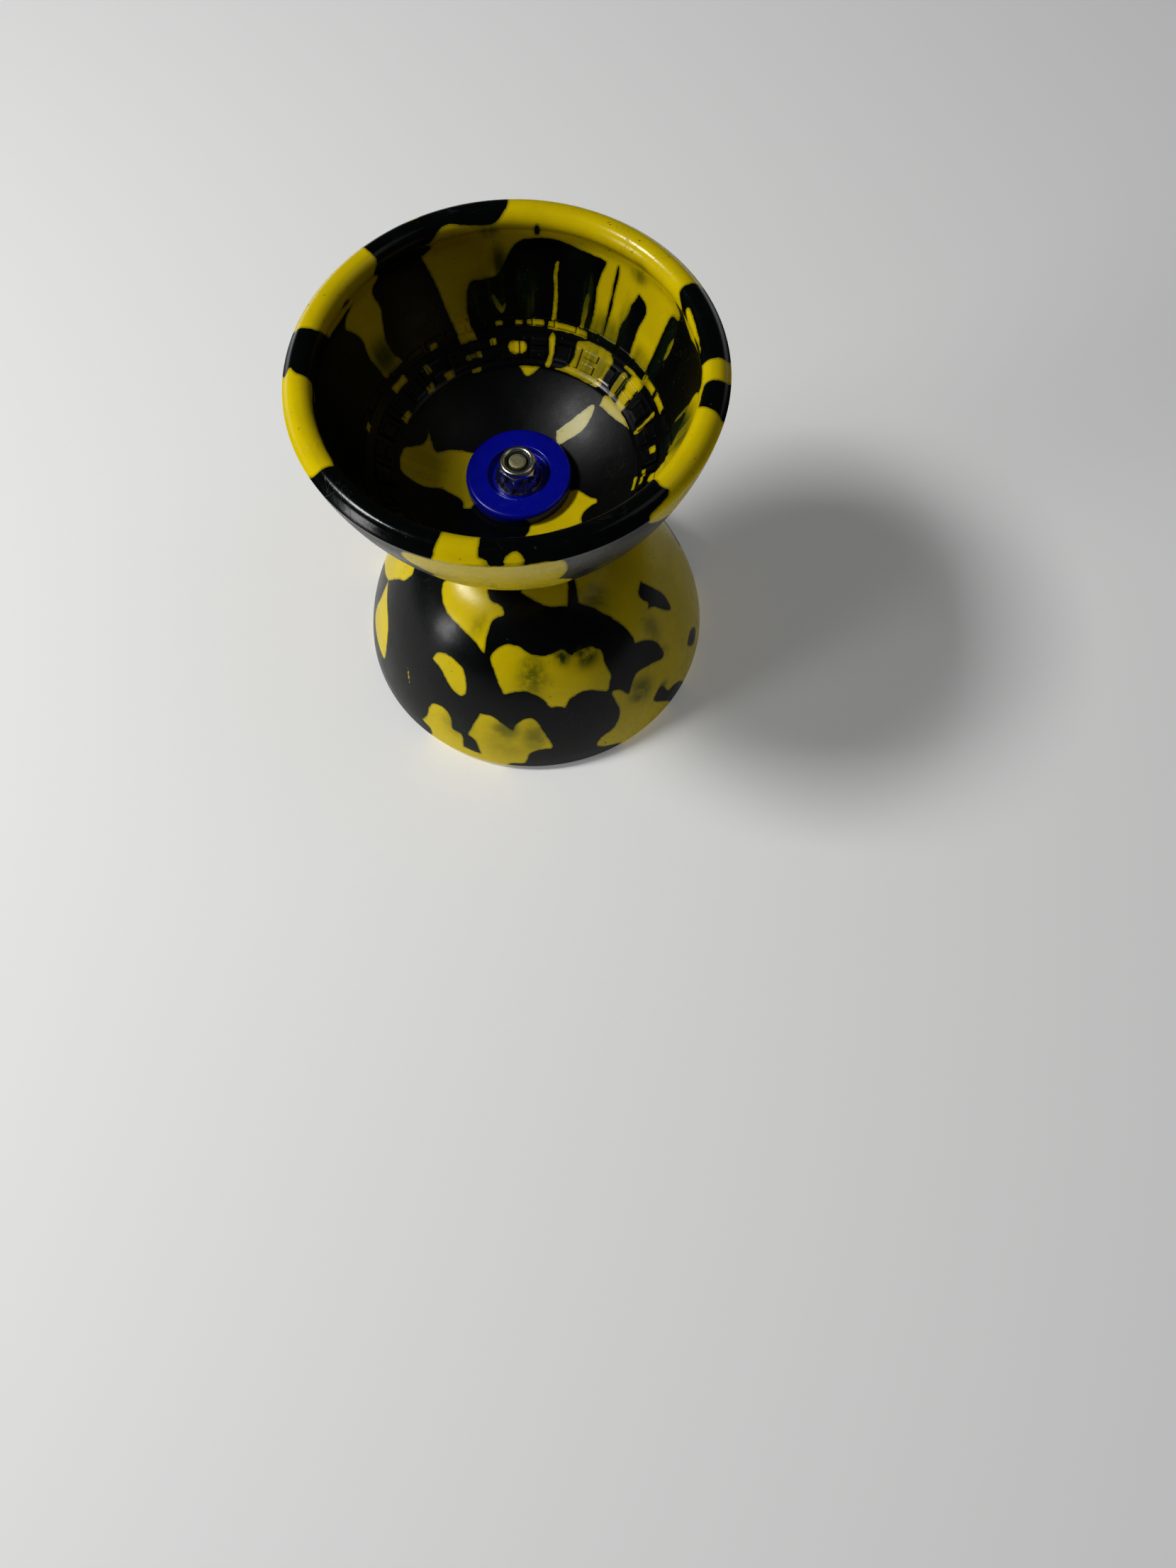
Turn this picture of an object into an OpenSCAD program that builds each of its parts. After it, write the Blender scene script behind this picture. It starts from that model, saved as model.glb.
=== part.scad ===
// Diabolo: two rubber cups clamped back to back on a fixed axle.
// The lower rim stands on z = 0 and +Z is the axis of spin.

/* [Cups] */
// Diameter across the rim beads
rim_d = 116; // [96:1:140]
// Height from the lower rim to the upper rim
overall_h = 135; // [112:1:165]
// Thickness of the side wall, measured along a radius
cup_wall = 4; // [3.2:0.1:5]
// Exponent of the side wall's curve, more is fuller
wall_curve = 1.3; // [1.2:0.05:1.8]
// Diameter of the neck where a cup meets the axle
neck_d = 30; // [26:1:36]
// Height of the flat boss around the neck
neck_h = 2; // [1:0.5:3]
// Thickness of the rubber hub, floor to neck
hub_t = 6; // [4:0.5:9]

/* [Rim bead] */
// Width of the rolled bead
bead_w = 7.4; // [6.4:0.2:8.4]
// Width of the ledge outside the bead
ledge_w = 0.8; // [0.4:0.1:1.4]
// Depth of the ledge below the rim
ledge_z = 2.4; // [1.6:0.1:2.8]
// Width of the flat land that a rim stands on
land_w = 1.6; // [1.2:0.2:2.4]

/* [Inside of a cup] */
// Diameter of the flat floor
floor_d = 34; // [30:1:40]
// Height of the moulded band's lower edge above the floor
band_rise = 9.9; // [8:0.1:12]
// Width of the moulded band, measured along a radius
band_run = 7; // [5.6:0.2:8.6]
// Height of the moulded band
band_h = 6; // [4.8:0.1:7.4]
// Step from the band down to the bowl
band_step = 0.6; // [0.3:0.1:1]

/* [Axle] */
// Diameter of the threaded rod
rod_d = 6; // [5:0.2:7.6]
// Gap between the rod and what slides over it
rod_clear = 0.2; // [0.1:0.05:0.4]
// Chamfer at the ends of the rod
rod_chamfer = 0.7; // [0.3:0.1:1]
// Length of the axle sleeve
sleeve_l = 18; // [14:1:24]
// Diameter of the sleeve's flanges
sleeve_flange_d = 22; // [19:1:28]
// Diameter of the string groove
groove_d = 12; // [10.5:0.5:16]
// Width of the groove's flat bottom
groove_w = 6; // [4:0.5:8]
// Thickness of a sleeve flange
flange_t = 1.2; // [0.8:0.1:1.8]
// Diameter of a seat washer
seat_d = 24; // [20:1:26]
// Thickness of a seat washer
seat_t = 1.5; // [1:0.1:2.5]
// Wall of a hub bush
bush_wall = 3.2; // [2:0.1:4]
// How far the bush's anchor ring goes into the rubber
anchor_out = 2; // [1:0.1:3]
// Height of the bush's anchor ring
anchor_h = 2; // [1.2:0.2:3]

/* [Cup washers] */
// Diameter of a cup washer
washer_d = 31; // [26:0.5:33]
// Thickness of a cup washer
washer_t = 4.2; // [3.4:0.1:5.4]
// Radius of the washer's rounded upper edge
washer_round = 1.2; // [0.5:0.1:1.6]
// Depth of the recess that the nut sits in
recess_depth = 2.1; // [1:0.1:2.6]
// Gap around the nut's flange in its recess
recess_clear = 1.9; // [0.8:0.1:3]

/* [Lock nuts] */
// Diameter of the nut's flange
nut_flange_d = 14.2; // [13:0.1:16]
// Width across the nut's flats
nut_af = 10; // [9:0.1:12]
// Whole height of the nut
nut_h = 8; // [7:0.1:9.2]
// Height of the crimped collar at the nut's end
collar_h = 1.8; // [1.2:0.1:2.4]
// Height of the nylon insert
insert_h = 1.9; // [1.4:0.1:2.4]
// Wall of the nylon insert
insert_wall = 1.1; // [0.8:0.1:1.3]
// Wall of the crimped collar
collar_wall = 1.1; // [0.8:0.1:1.3]
// Depth of the crimped lip over the insert
lip_h = 0.4; // [0.2:0.1:0.6]

/* [Hidden] */
$fn = 96;

// Every height below is measured from a rim plane towards the middle.
mid_z = overall_h / 2;
neck_z = mid_z - sleeve_l / 2 - seat_t;
floor_z = neck_z - hub_t;
band_z = floor_z - band_rise;
washer_z = floor_z - washer_t;
nut_z = washer_z + recess_depth;
nut_end_z = nut_z - nut_h;

rim_r = rim_d / 2;
neck_r = neck_d / 2;
shoulder_z = neck_z - neck_h;
wall_flare = 0.43;
bead_r = bead_w / 2;
land_cut = bead_r - sqrt(bead_r * bead_r - land_w * land_w / 4);
bead_z = bead_r - land_cut;
bead_mid_r = rim_r - ledge_w - sqrt(bead_r * bead_r - pow(bead_z - ledge_z, 2));
mouth_z = bead_z + bead_r;
bore_r = rod_d / 2 + rod_clear;
bush_r = bore_r + bush_wall;
anchor_r = bush_r + anchor_out;
anchor_z = neck_z - hub_t / 2 - anchor_h / 2;
recess_r = nut_flange_d / 2 + recess_clear;
insert_r = rod_d / 2 + insert_wall;
collar_r = insert_r + collar_wall;
insert_z = nut_end_z + lip_h;
rod_inset = 0.2;
nut_flange_t = 1.1;
nut_skirt_h = 3;
wall_steps = 36;
bowl_steps = 14;
arc_steps = 10;

// Radius of the side wall's outside at a height z above the rim.
function wall_out(z) =
    neck_r + (rim_r - neck_r)
    * pow(1 - pow((z - ledge_z) / (shoulder_z - ledge_z), wall_curve), wall_flare);

// The band's upper edge lies on the inside of the side wall.
band_top_z = band_z - band_h;
band_top_r = wall_out(band_top_z) - cup_wall;
band_r = band_top_r - band_run;

// The bowl is part of a sphere through the floor's edge and the band's lower edge.
bowl_r = band_r - band_step;
bowl_z = band_z + band_step;
floor_r = floor_d / 2;
bowl_mid_z = (floor_r * floor_r + floor_z * floor_z - bowl_r * bowl_r - bowl_z * bowl_z)
    / (2 * (floor_z - bowl_z));
bowl_ball_r = sqrt(floor_r * floor_r + pow(floor_z - bowl_mid_z, 2));

// The bead's arc runs from the inside, over the land, to the crease at the ledge.
inner_turn = 60;
land_turn = acos(land_w / 2 / bead_r);
crease_turn = asin((bead_z - ledge_z) / bead_r);

outer_wall = [for (i = [0 : wall_steps])
    let (z = ledge_z + (shoulder_z - ledge_z) * (1 - pow(1 - i / wall_steps, 2)))
    [wall_out(z), z]];
bowl_arc = [for (i = [0 : bowl_steps])
    let (r = floor_r + (bowl_r - floor_r) * i / bowl_steps)
    [r, bowl_mid_z + sqrt(bowl_ball_r * bowl_ball_r - r * r)]];
inner_wall = [for (i = [0 : wall_steps])
    let (z = band_top_z + (mouth_z - band_top_z) * i / wall_steps)
    [wall_out(z) - cup_wall, z]];
bead_inside = [for (i = [0 : arc_steps])
    let (a = -inner_turn + (land_turn + inner_turn) * i / arc_steps)
    [bead_mid_r - bead_r * cos(a), bead_z - bead_r * sin(a)]];
bead_outside = [for (i = [0 : arc_steps])
    let (a = land_turn + (crease_turn - land_turn) * i / arc_steps)
    [bead_mid_r + bead_r * cos(a), bead_z - bead_r * sin(a)]];

// A cup with its rim on z = 0, its mouth facing down and its hub at the top.
module cup() {
    difference() {
        rotate_extrude()
            polygon(concat(
                outer_wall,
                [[neck_r, neck_z], [bush_r, neck_z], [bush_r, floor_z]],
                bowl_arc,
                [[band_r, band_z]],
                inner_wall,
                bead_inside,
                bead_outside));
        translate([0, 0, anchor_z])
            cylinder(r = anchor_r, h = anchor_h);
    }
}

// The hard core of the hub, held in the rubber by a ring around its middle.
module hub_bush() {
    difference() {
        union() {
            translate([0, 0, floor_z])
                cylinder(r = bush_r, h = hub_t);
            translate([0, 0, anchor_z])
                cylinder(r = anchor_r, h = anchor_h);
        }
        translate([0, 0, floor_z - 1])
            cylinder(r = bore_r, h = hub_t + 2);
    }
}

// The thick plastic washer on the cup's floor, recessed for the nut.
module cup_washer() {
    washer_r = washer_d / 2;
    difference() {
        translate([0, 0, washer_z])
            rotate_extrude()
                difference() {
                    union() {
                        translate([0, washer_round])
                            square([washer_r, washer_t - washer_round]);
                        square([washer_r - washer_round, washer_round]);
                        translate([washer_r - washer_round, washer_round])
                            circle(r = washer_round);
                    }
                    translate([-washer_r, -1])
                        square([washer_r, washer_t + 2]);
                }
        translate([0, 0, washer_z - 1])
            cylinder(r = recess_r, h = recess_depth + 1);
        translate([0, 0, washer_z - 1])
            cylinder(r = bore_r, h = washer_t + 2);
    }
}

// The thin washer between the sleeve and the cup's neck.
module seat_washer() {
    difference() {
        translate([0, 0, neck_z])
            cylinder(r = seat_d / 2, h = seat_t);
        translate([0, 0, neck_z - 1])
            cylinder(r = bore_r, h = seat_t + 2);
    }
}

// A flanged lock nut: flange against the washer, collar towards the rim.
module lock_nut() {
    hex_r = nut_af / 2 / cos(30);
    hex_end_z = nut_end_z + collar_h;
    difference() {
        union() {
            translate([0, 0, nut_z - nut_flange_t])
                cylinder(d = nut_flange_d, h = nut_flange_t);
            translate([0, 0, nut_z - nut_skirt_h])
                cylinder(r1 = nut_af / 2, r2 = nut_flange_d / 2, h = nut_skirt_h - nut_flange_t);
            intersection() {
                translate([0, 0, hex_end_z])
                    cylinder(r = hex_r, h = nut_z - hex_end_z, $fn = 6);
                translate([0, 0, hex_end_z])
                    cylinder(r1 = nut_af / 2, r2 = nut_af / 2 + nut_z - hex_end_z, h = nut_z - hex_end_z);
            }
            translate([0, 0, nut_end_z])
                cylinder(r = collar_r, h = nut_z - nut_end_z);
        }
        translate([0, 0, nut_end_z - 1])
            cylinder(d = rod_d, h = nut_h + 2);
        translate([0, 0, insert_z])
            cylinder(r = insert_r, h = insert_h);
        translate([0, 0, nut_end_z - 1])
            cylinder(r = insert_r - lip_h, h = lip_h + 1.1);
    }
}

// The nylon ring that grips the rod inside the nut's collar.
module nut_insert() {
    difference() {
        translate([0, 0, insert_z])
            cylinder(r = insert_r, h = insert_h);
        translate([0, 0, insert_z - 1])
            cylinder(d = rod_d, h = insert_h + 2);
    }
}

// Turns a piece made for the lower cup over, for the upper cup.
module at_top() {
    translate([0, 0, overall_h])
        mirror([0, 0, 1])
            children();
}

module upper_cup() { color("#23241f") at_top() cup(); }
module lower_cup() { color("#23241f") cup(); }
module upper_hub_bush() { color("#3a3b3d") at_top() hub_bush(); }
module lower_hub_bush() { color("#3a3b3d") hub_bush(); }
module upper_cup_washer() { color("#1420b0") at_top() cup_washer(); }
module lower_cup_washer() { color("#1420b0") cup_washer(); }
module upper_seat_washer() { color("silver") at_top() seat_washer(); }
module lower_seat_washer() { color("silver") seat_washer(); }
module upper_lock_nut() { color("gainsboro") at_top() lock_nut(); }
module lower_lock_nut() { color("gainsboro") lock_nut(); }
module upper_nut_insert() { color("#2c3033") at_top() nut_insert(); }
module lower_nut_insert() { color("#2c3033") nut_insert(); }

// The rod ends level with the crimped lip of each nut.
module threaded_rod() {
    rod_z = nut_end_z + rod_inset;
    rod_l = overall_h - 2 * rod_z;
    tip_r = rod_d / 2 - rod_chamfer;
    color("silver") {
        translate([0, 0, rod_z + rod_chamfer])
            cylinder(d = rod_d, h = rod_l - 2 * rod_chamfer);
        translate([0, 0, rod_z])
            cylinder(r1 = tip_r, r2 = rod_d / 2, h = rod_chamfer);
        translate([0, 0, overall_h - rod_z - rod_chamfer])
            cylinder(r1 = rod_d / 2, r2 = tip_r, h = rod_chamfer);
    }
}

// The turned spool that spaces the cups apart and carries the string.
module axle_sleeve() {
    half_l = sleeve_l / 2;
    groove_r = groove_d / 2;
    flange_r = sleeve_flange_d / 2;
    color("lightgray") translate([0, 0, mid_z]) rotate_extrude()
        polygon([
            [bore_r, -half_l], [flange_r, -half_l], [flange_r, flange_t - half_l],
            [groove_r, -groove_w / 2], [groove_r, groove_w / 2],
            [flange_r, half_l - flange_t], [flange_r, half_l], [bore_r, half_l]]);
}

upper_cup();
lower_cup();
upper_hub_bush();
lower_hub_bush();
upper_cup_washer();
lower_cup_washer();
upper_seat_washer();
lower_seat_washer();
upper_lock_nut();
lower_lock_nut();
upper_nut_insert();
lower_nut_insert();
threaded_rod();
axle_sleeve();
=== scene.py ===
# %% [markdown]
# # A diabolo in marbled rubber
# A diabolo is two cups set back to back on a short axle. It spins on a string
# that runs in the groove between the cups. This lesson builds the looks of one
# around a finished CAD model, which gives the places of every piece in metres.
# The lower rim stands on z = 0 and the axle is the Z axis.

# %% Load the fixed frame
import math
import random

import bpy
import numpy as np
from mathutils import Matrix, Vector


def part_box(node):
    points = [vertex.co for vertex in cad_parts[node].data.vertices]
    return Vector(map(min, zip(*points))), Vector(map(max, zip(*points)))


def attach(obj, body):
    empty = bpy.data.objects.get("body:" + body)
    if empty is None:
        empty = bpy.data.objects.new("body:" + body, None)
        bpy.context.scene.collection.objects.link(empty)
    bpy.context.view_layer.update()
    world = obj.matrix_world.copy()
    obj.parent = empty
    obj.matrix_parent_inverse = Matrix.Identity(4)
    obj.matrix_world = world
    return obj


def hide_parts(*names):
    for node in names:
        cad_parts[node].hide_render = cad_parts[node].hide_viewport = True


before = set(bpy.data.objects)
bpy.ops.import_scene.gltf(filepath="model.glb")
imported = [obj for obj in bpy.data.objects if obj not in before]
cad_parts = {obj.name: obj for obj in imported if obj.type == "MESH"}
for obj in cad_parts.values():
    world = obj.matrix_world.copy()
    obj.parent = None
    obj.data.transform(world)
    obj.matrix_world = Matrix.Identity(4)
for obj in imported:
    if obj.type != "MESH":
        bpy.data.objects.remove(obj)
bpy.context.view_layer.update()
MM = 0.001
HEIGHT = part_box("upper_cup")[1].z / MM
print("CAD nodes:", len(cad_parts), "height in mm:", round(HEIGHT, 1))

# %% [markdown]
# ## The camera
# The diabolo is seen from the front and well above, from close by, so the upper
# mouth looks much larger than the lower cup. The camera could be aimed
# with a constraint. Two plain turns are easier to read: one tips it forward
# from straight down, the other rolls it a little about its own view line.

# %% Place the camera
view = bpy.data.cameras.new("view")
view.sensor_width = 36
view.lens = 28.56
camera = bpy.data.objects.new("view", view)
bpy.context.scene.collection.objects.link(camera)
PLACE, TIP, ROLL_BY = (14.8, -215.7, 393.3), 21.04, -3.37
tip = Matrix.Rotation(math.radians(TIP), 4, "X")
roll = Matrix.Rotation(math.radians(ROLL_BY), 4, "Z")
camera.matrix_world = Matrix.Translation(Vector(PLACE) * MM) @ tip @ roll
bpy.context.scene.camera = camera
print("camera height in mm:", round(camera.matrix_world.translation.z / MM))

# %% [markdown]
# ## The floor and the light
# A pale floor and three soft boxes are a small product studio. The main box
# hangs high on the left, so the rim's crown is bright while the near and left
# walls inside the mouth stay in shade. A low box at the front left shines under
# the rim on to the lower cup, and a weak wide box on the right opens the
# shadows. Sun lamps would be simpler, but area lights have soft edges. The paper
# glows a little to stay pale, and the contrast look keeps the black deep.

# %% Lay the floor
def select_only(piece):
    bpy.ops.object.select_all(action="DESELECT")
    piece.select_set(True)
    bpy.context.view_layer.objects.active = piece


bpy.ops.object.select_all(action="DESELECT")
bpy.ops.mesh.primitive_plane_add(size=6)
floor = bpy.context.object
floor.name = "floor"
paper = bpy.data.materials.new("pale_paper")
paper.use_nodes = True
for socket, value in (("Base Color", (0.9, 0.9, 0.89, 1)), ("Roughness", 0.9),
                      ("Emission Color", (1, 1, 1, 1)), ("Emission Strength", 0.12)):
    paper.node_tree.nodes["Principled BSDF"].inputs[socket].default_value = value
floor.data.materials.append(paper)
print("floor width in m:", round(floor.dimensions.x, 2))


# %% Hang the soft boxes
def soft_box(name, place, aim, size, watts):
    """A soft rectangular lamp at a place, turned to face its aim; metres and watts."""
    lamp = bpy.data.lights.new(name, "AREA")
    lamp.shape = "RECTANGLE"
    lamp.size, lamp.size_y = size
    lamp.energy = watts
    box = bpy.data.objects.new(name, lamp)
    bpy.context.scene.collection.objects.link(box)
    box.location = place
    box.rotation_euler = (Vector(aim) - Vector(place)).to_track_quat("-Z", "Y").to_euler()
    print(name, "at", place, "watts", watts)


soft_box("main_box", (-0.65, 0.05, 0.96), (0, 0, 0.08), (0.24, 0.24), 5.8)
soft_box("side_box", (0.6, -0.03, 1.1), (0, 0, 0.05), (0.5, 0.5), 0.4)
soft_box("low_box", (-0.98, -0.36, 0.34), (0, 0, 0.06), (0.22, 0.36), 2.4)
world = bpy.data.worlds.new("studio")
world.use_nodes = True
sky = world.node_tree.nodes["Background"].inputs
sky["Color"].default_value, sky["Strength"].default_value = (0.9, 0.95, 1, 1), 0.04
scene = bpy.context.scene
scene.world = world
scene.view_settings.view_transform = "Standard"
scene.view_settings.look = "Medium High Contrast"

# %% [markdown]
# ## A lathe
# Almost every piece here is round, so one helper does the lathe work. It starts
# from a small plane, merges it to a single point, extrudes that point along the
# half section and spins the line round the axle. A Screw modifier could do the
# same, but the spin keeps the mesh in view while it is shaped. Seams are merged
# before the normals are turned outwards.


# %% Define the lathe
def edit_all():
    """Opens the active piece for editing, with all of it selected."""
    bpy.ops.object.mode_set(mode="EDIT")
    bpy.ops.mesh.select_all(action="SELECT")


def face_outwards():
    bpy.ops.mesh.select_all(action="SELECT")
    bpy.ops.mesh.normals_make_consistent(inside=False)


def start_line(name, first):
    """A new piece that is one point at (radius, height) in mm, open for editing."""
    bpy.ops.object.select_all(action="DESELECT")
    bpy.ops.mesh.primitive_plane_add(size=MM)
    piece = bpy.context.object
    piece.name = piece.data.name = name
    bpy.ops.object.mode_set(mode="EDIT")
    bpy.ops.mesh.merge(type="CENTER")
    bpy.ops.transform.translate(value=(first[0] * MM, 0, first[1] * MM))
    return piece


def draw_line(points):
    """Extrudes the line on through (radius, height) points in mm."""
    for here, there in zip(points, points[1:]):
        step = ((there[0] - here[0]) * MM, 0, (there[1] - here[1]) * MM)
        bpy.ops.mesh.extrude_region_move(TRANSFORM_OT_translate={"value": step})


def turn(name, section, steps, smooth=35):
    """A closed half section of (radius, height) points in mm, turned about Z."""
    piece = start_line(name, section[0])
    draw_line(list(section) + [section[0]])
    bpy.ops.mesh.select_all(action="SELECT")
    bpy.ops.mesh.spin(steps=steps, angle=math.tau, center=(0, 0, 0), axis=(0, 0, 1))
    bpy.ops.mesh.select_all(action="SELECT")
    bpy.ops.mesh.remove_doubles(threshold=0.003 * MM)
    bpy.ops.mesh.normals_make_consistent(inside=False)
    bpy.ops.object.mode_set(mode="OBJECT")
    bpy.ops.object.shade_smooth_by_angle(angle=math.radians(smooth))
    print(name, "faces:", len(piece.data.polygons))
    return piece


def corner(r, z, radius, start, end, steps=5):
    """Points of a rounded corner: centre, radius and two angles in degrees."""
    turns = np.radians(np.linspace(start, end, steps + 1))
    return [(r + radius * math.cos(a), z + radius * math.sin(a)) for a in turns]


def turned_over(piece, name):
    """A copy with its own mesh, turned half round the X axis for the upper cup."""
    select_only(piece)
    bpy.ops.object.duplicate()
    copy = bpy.context.object
    copy.name = copy.data.name = name
    edit_all()
    bpy.ops.transform.rotate(value=math.pi, orient_axis="X", orient_type="GLOBAL",
                             center_override=(0, 0, HEIGHT / 2 * MM))
    bpy.ops.object.mode_set(mode="OBJECT")
    return copy


# %% [markdown]
# ## The shape of a cup
# The half section runs from the crown of the rolled rim down the inside wall to
# the floor, through the hub, and back up the outside. The wall's outside bulges
# like a bell. Heights are measured from the rim, so one section serves both
# cups. Two fine ribs frame the moulded band inside. They are added by pushing
# the section out along its own normal, which keeps them level all round.

# %% Draw the inside line
BEAD_R, BEAD_MID, BEAD_Z = 3.7, 53.7, 3.61
RIM_R, NECK_R, LEDGE_Z, SHOULDER_Z = 58.0, 15.0, 2.4, 55.0
FLOOR_Z, NECK_Z, FLOOR_R, BUSH_R = 51.0, 57.0, 17.0, 6.4
BAND_TOP_Z, BAND_Z, WALL = 35.1, 41.1, 4.0
BELL_FROM, BELL_TO = 1.3, 0.43
SWELL, SWELL_Z, SWELL_WIDE = 1.1, 7.5, 2.6


def wall_radius(z):
    """The bell of the outside wall: two powers set how early and how fully it bulges."""
    share = (z - LEDGE_Z) / (SHOULDER_Z - LEDGE_Z)
    return NECK_R + (RIM_R - NECK_R) * (1 - share ** BELL_FROM) ** BELL_TO


def bead_arc(start, end, steps):
    """Part of the rolled rim, flattened where it would pass the rim's plane."""
    points = corner(BEAD_MID, BEAD_Z, BEAD_R, -start, -end, steps)
    return [(r, max(0.0, z)) for r, z in points]


band_top_r = wall_radius(BAND_TOP_Z) - WALL
band_r = band_top_r - 7.0
bowl_r, bowl_z = band_r - 0.6, BAND_Z + 0.6
ball_z = (FLOOR_R ** 2 + FLOOR_Z ** 2 - bowl_r ** 2 - bowl_z ** 2) / (2 * (FLOOR_Z - bowl_z))
ball_r = math.hypot(FLOOR_R, FLOOR_Z - ball_z)
inside = bead_arc(90, 205, 26)
inside += [(wall_radius(z) - WALL - SWELL * math.exp(-((z - SWELL_Z) / SWELL_WIDE) ** 2), z)
           for z in np.linspace(7.4, BAND_TOP_Z, 46)]
inside += [(band_top_r + (band_r - band_top_r) * t, BAND_TOP_Z + (BAND_Z - BAND_TOP_Z) * t)
           for t in np.linspace(0.1, 1, 12)]
inside += [(r, ball_z + math.sqrt(ball_r ** 2 - r * r)) for r in np.linspace(bowl_r, FLOOR_R, 26)]
inside = np.array(inside)
print("inside points:", len(inside))

# %% Draw the outside line
outside = bead_arc(90, 19, 16)
outside += corner(RIM_R - 0.35, LEDGE_Z + 0.35, 0.35, -90, 0, 4)
depth = LEDGE_Z + (SHOULDER_Z - LEDGE_Z) * (1 - (1 - np.linspace(0, 1, 76)) ** 2)
outside += [(wall_radius(z), z) for z in depth[3:]]
outside = np.array(outside)


def stations(line):
    """Length along a line from its first point, in mm."""
    return np.concatenate([[0], np.cumsum(np.hypot(*np.diff(line, axis=0).T))])


def sideways(line):
    """The unit step at right angles to a line, at each of its points."""
    way = np.gradient(line, axis=0)
    way /= np.hypot(way[:, 0], way[:, 1])[:, None]
    return np.stack([way[:, 1], -way[:, 0]], 1)


def raise_rib(line, at, wide, high):
    """Pushes a soft rib out of a line at a station, by high mm along its sideways step."""
    push = high * np.exp(-((stations(line) - at) / wide) ** 2)
    return line + push[:, None] * sideways(line)


def even_line(line, step):
    """The same line with points a given step apart."""
    along = stations(line)
    places = np.linspace(0, along[-1], int(along[-1] / step) + 1)
    return np.stack([np.interp(places, along, line[:, k]) for k in (0, 1)], 1)


inside = even_line(inside, 0.62)
for rib_at in (40.2, 49.6):
    inside = raise_rib(inside, rib_at, wide=0.45, high=-0.3)
outside = even_line(outside, 0.8)
print("inside length:", round(stations(inside)[-1], 1), "outside:", round(stations(outside)[-1], 1))

# %% Turn the lower cup and copy it for the upper one
hub = [(9.0, FLOOR_Z), (BUSH_R, FLOOR_Z), (BUSH_R, NECK_Z)]
hub += corner(NECK_R - 0.5, NECK_Z - 0.5, 0.5, 90, 0, 4)
section = [tuple(p) for p in inside] + hub + [tuple(p) for p in outside[:0:-1]]
lower_shell = turn("lower_cup_shell", section, steps=420, smooth=50)
upper_shell = turned_over(lower_shell, "upper_cup_shell")

# %% [markdown]
# ## Marbling: how the chips of colour are drawn
# Real cups like these are pressed from torn chips of yellow and black rubber.
# The chips flow a little and meet in crisp scalloped edges with sharp tips. A
# texture would need a picture, and plain noise never gives such edges. So each
# chip is an outline on the cup: a few points in degrees round the axle and
# millimetres along the section, plus inwards from the rim's crown and minus
# outwards. Every vertex then stores its distance to the nearest edge, and the
# material turns colour where that distance passes zero.

# %% Read each vertex's place on the section
def read_place(piece, upper):
    """Angle in degrees, station in mm and radius in mm of every vertex."""
    spots = np.zeros(len(piece.data.vertices) * 3)
    piece.data.vertices.foreach_get("co", spots)
    x, y, z = spots.reshape(-1, 3).T / MM
    radius, down = np.hypot(x, y), HEIGHT - z if upper else z
    line = np.concatenate([inside, outside])
    reach = np.concatenate([stations(inside), -stations(outside)])
    along = np.empty(len(x))
    for part in np.array_split(np.arange(len(x)), 20):
        far = (radius[part, None] - line[:, 0]) ** 2 + (down[part, None] - line[:, 1]) ** 2
        along[part] = reach[far.argmin(1)]
    return np.degrees(np.arctan2(y, x)), along, radius


# %% Round the drawn outlines
def round_outline(points, between=5):
    """Joins the points with smooth curves; a third value of 1 keeps a sharp tip."""
    spots = np.array([p[:2] for p in points], float)
    sharp = [len(p) > 2 for p in points]
    count, ring = len(points), []
    for k in range(count):
        a, b = spots[k], spots[(k + 1) % count]
        leave = b - a if sharp[k] else (b - spots[k - 1]) / 2
        arrive = b - a if sharp[(k + 1) % count] else (spots[(k + 2) % count] - a) / 2
        for t in np.arange(between) / between:
            ring.append(a * (2 * t ** 3 - 3 * t ** 2 + 1) + leave * (t ** 3 - 2 * t ** 2 + t)
                        + b * (3 * t ** 2 - 2 * t ** 3) + arrive * (t ** 3 - t ** 2))
    return np.array(ring)


# %% Measure the distance to an outline
EDGE_REACH = 3.0


def press_chip(field, place, points, light=True):
    """Adds a light chip to the field of distances, or cuts a dark one out of it."""
    angle, along, radius = place
    ring = round_outline(points)
    middle = ring[:, 0].mean()
    turned = (angle - middle + 180) % 360 - 180
    low, high = ring.min(0), ring.max(0)
    spare = np.degrees(EDGE_REACH / np.maximum(radius, 8))
    near = ((along > low[1] - EDGE_REACH) & (along < high[1] + EDGE_REACH)
            & (turned > low[0] - middle - spare) & (turned < high[0] - middle + spare))
    if not near.any():
        return
    scale = np.radians(radius[near])[:, None]
    px, py = turned[near][:, None] * scale, along[near][:, None]
    ax, ay = (ring[:, 0] - middle) * scale, ring[:, 1][None]
    bx, by = np.roll(ax, -1, 1), np.roll(ay, -1, 1)
    dx, dy = bx - ax, by - ay
    share = ((px - ax) * dx + (py - ay) * dy) / (dx * dx + dy * dy + 1e-9)
    share = share.clip(0, 1)
    away = np.sqrt(((px - ax - share * dx) ** 2 + (py - ay - share * dy) ** 2).min(1))
    cross = ((ay > py) != (by > py)) & (px < ax + dx * (py - ay) / (dy + 1e-12))
    away = np.where(cross.sum(1) % 2 == 1, away, -away).clip(-EDGE_REACH, EDGE_REACH)
    field[near] = np.maximum(field[near], away) if light else np.minimum(field[near], -away)


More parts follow.
